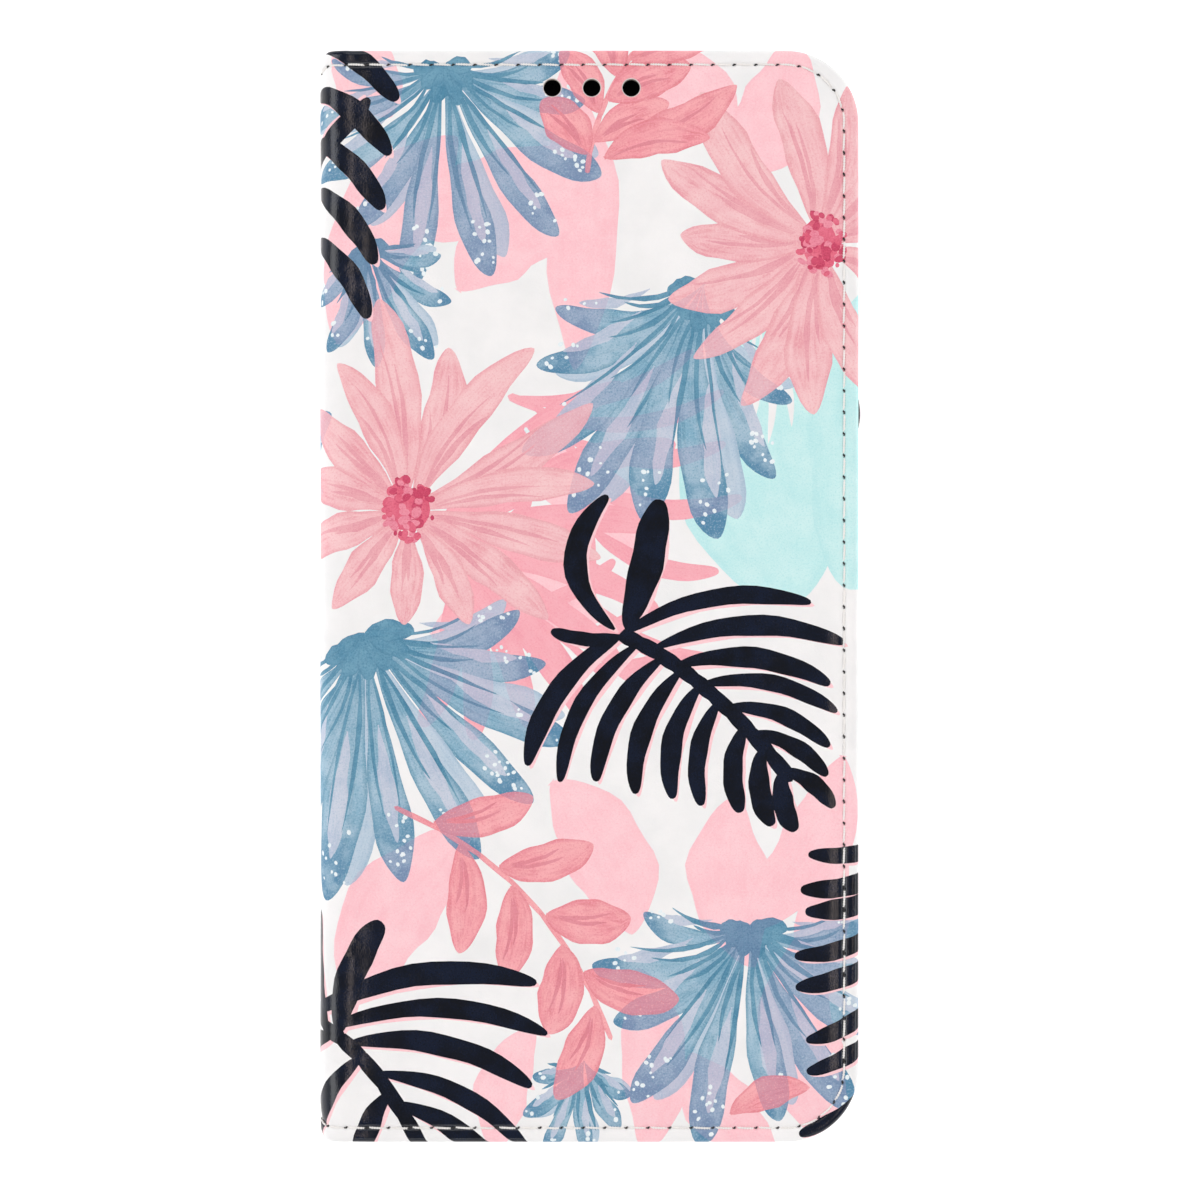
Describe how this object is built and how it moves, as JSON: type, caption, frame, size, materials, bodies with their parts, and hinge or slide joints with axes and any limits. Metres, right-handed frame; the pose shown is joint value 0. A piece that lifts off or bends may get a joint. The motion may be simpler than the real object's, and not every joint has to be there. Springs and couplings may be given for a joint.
{
  "type": "folio phone case",
  "caption": "Flip cover case for a phone: printed soft cover panels and spine with stitched edges, a moulded inner shell, inner pockets and pressable side buttons.",
  "frame": {"origin": "centre of the closed case's bounding box, on the face it lies on (the back panel's outer face)", "axes": "+X from the spine to the opening edge, +Y to the top of the phone, +Z out of the back panel to the front cover"},
  "size_m": [0.0822, 0.1646, 0.0156],
  "materials": {
    "printed_skin": "printed polyurethane leather, satin, fine grain",
    "board": "grey board",
    "padding": "filler sheet",
    "lining": "black synthetic leather",
    "pocket": "black synthetic leather",
    "magnet": "nickel plated",
    "white_thread": "twisted polyester thread",
    "black_thread": "twisted polyester thread",
    "adhesive": "double-sided tape",
    "moulded_shell": "soft thermoplastic polyurethane, semi-gloss"
  },
  "bodies": {
    "back": {"back_skin": "printed_skin", "back_board": "board", "back_padding": "padding", "back_lining": "lining", "back_magnets": "magnet", "back_needle_thread": "white_thread", "back_bobbin_thread": "black_thread", "shell_adhesive": "adhesive", "phone_shell": "moulded_shell"},
    "spine": {"spine_skin": "printed_skin", "spine_board": "board", "spine_lining": "lining", "spine_needle_thread": "white_thread", "spine_bobbin_thread": "black_thread"},
    "cover": {"front_skin": "printed_skin", "front_board": "board", "front_padding": "padding", "front_lining": "lining", "front_magnets": "magnet", "money_pocket": "pocket", "outer_card_pocket": "pocket", "inner_card_pocket": "pocket", "pocket_thread": "black_thread", "front_needle_thread": "white_thread", "front_bobbin_thread": "black_thread"},
    "power": {"power_button": "moulded_shell"},
    "volume": {"volume_button": "moulded_shell"}
  },
  "joints": [
    {"name": "spine_fold", "type": "hinge", "parent": "back", "child": "spine", "pos_m": [-0.0399, 0, 0.00117], "axis": [0, -1, 0], "range_deg": [0, 90]},
    {"name": "cover_fold", "type": "hinge", "parent": "spine", "child": "cover", "pos_m": [-0.0399, 0, 0.01443], "axis": [0, -1, 0], "range_deg": [0, 90]},
    {"name": "power_press", "type": "slide", "parent": "back", "child": "power", "axis": [-1, 0, 0], "range_m": [0, 0.0003], "stiffness_N_per_m": 3000},
    {"name": "volume_press", "type": "slide", "parent": "back", "child": "volume", "axis": [-1, 0, 0], "range_m": [0, 0.0003], "stiffness_N_per_m": 3000}
  ]
}
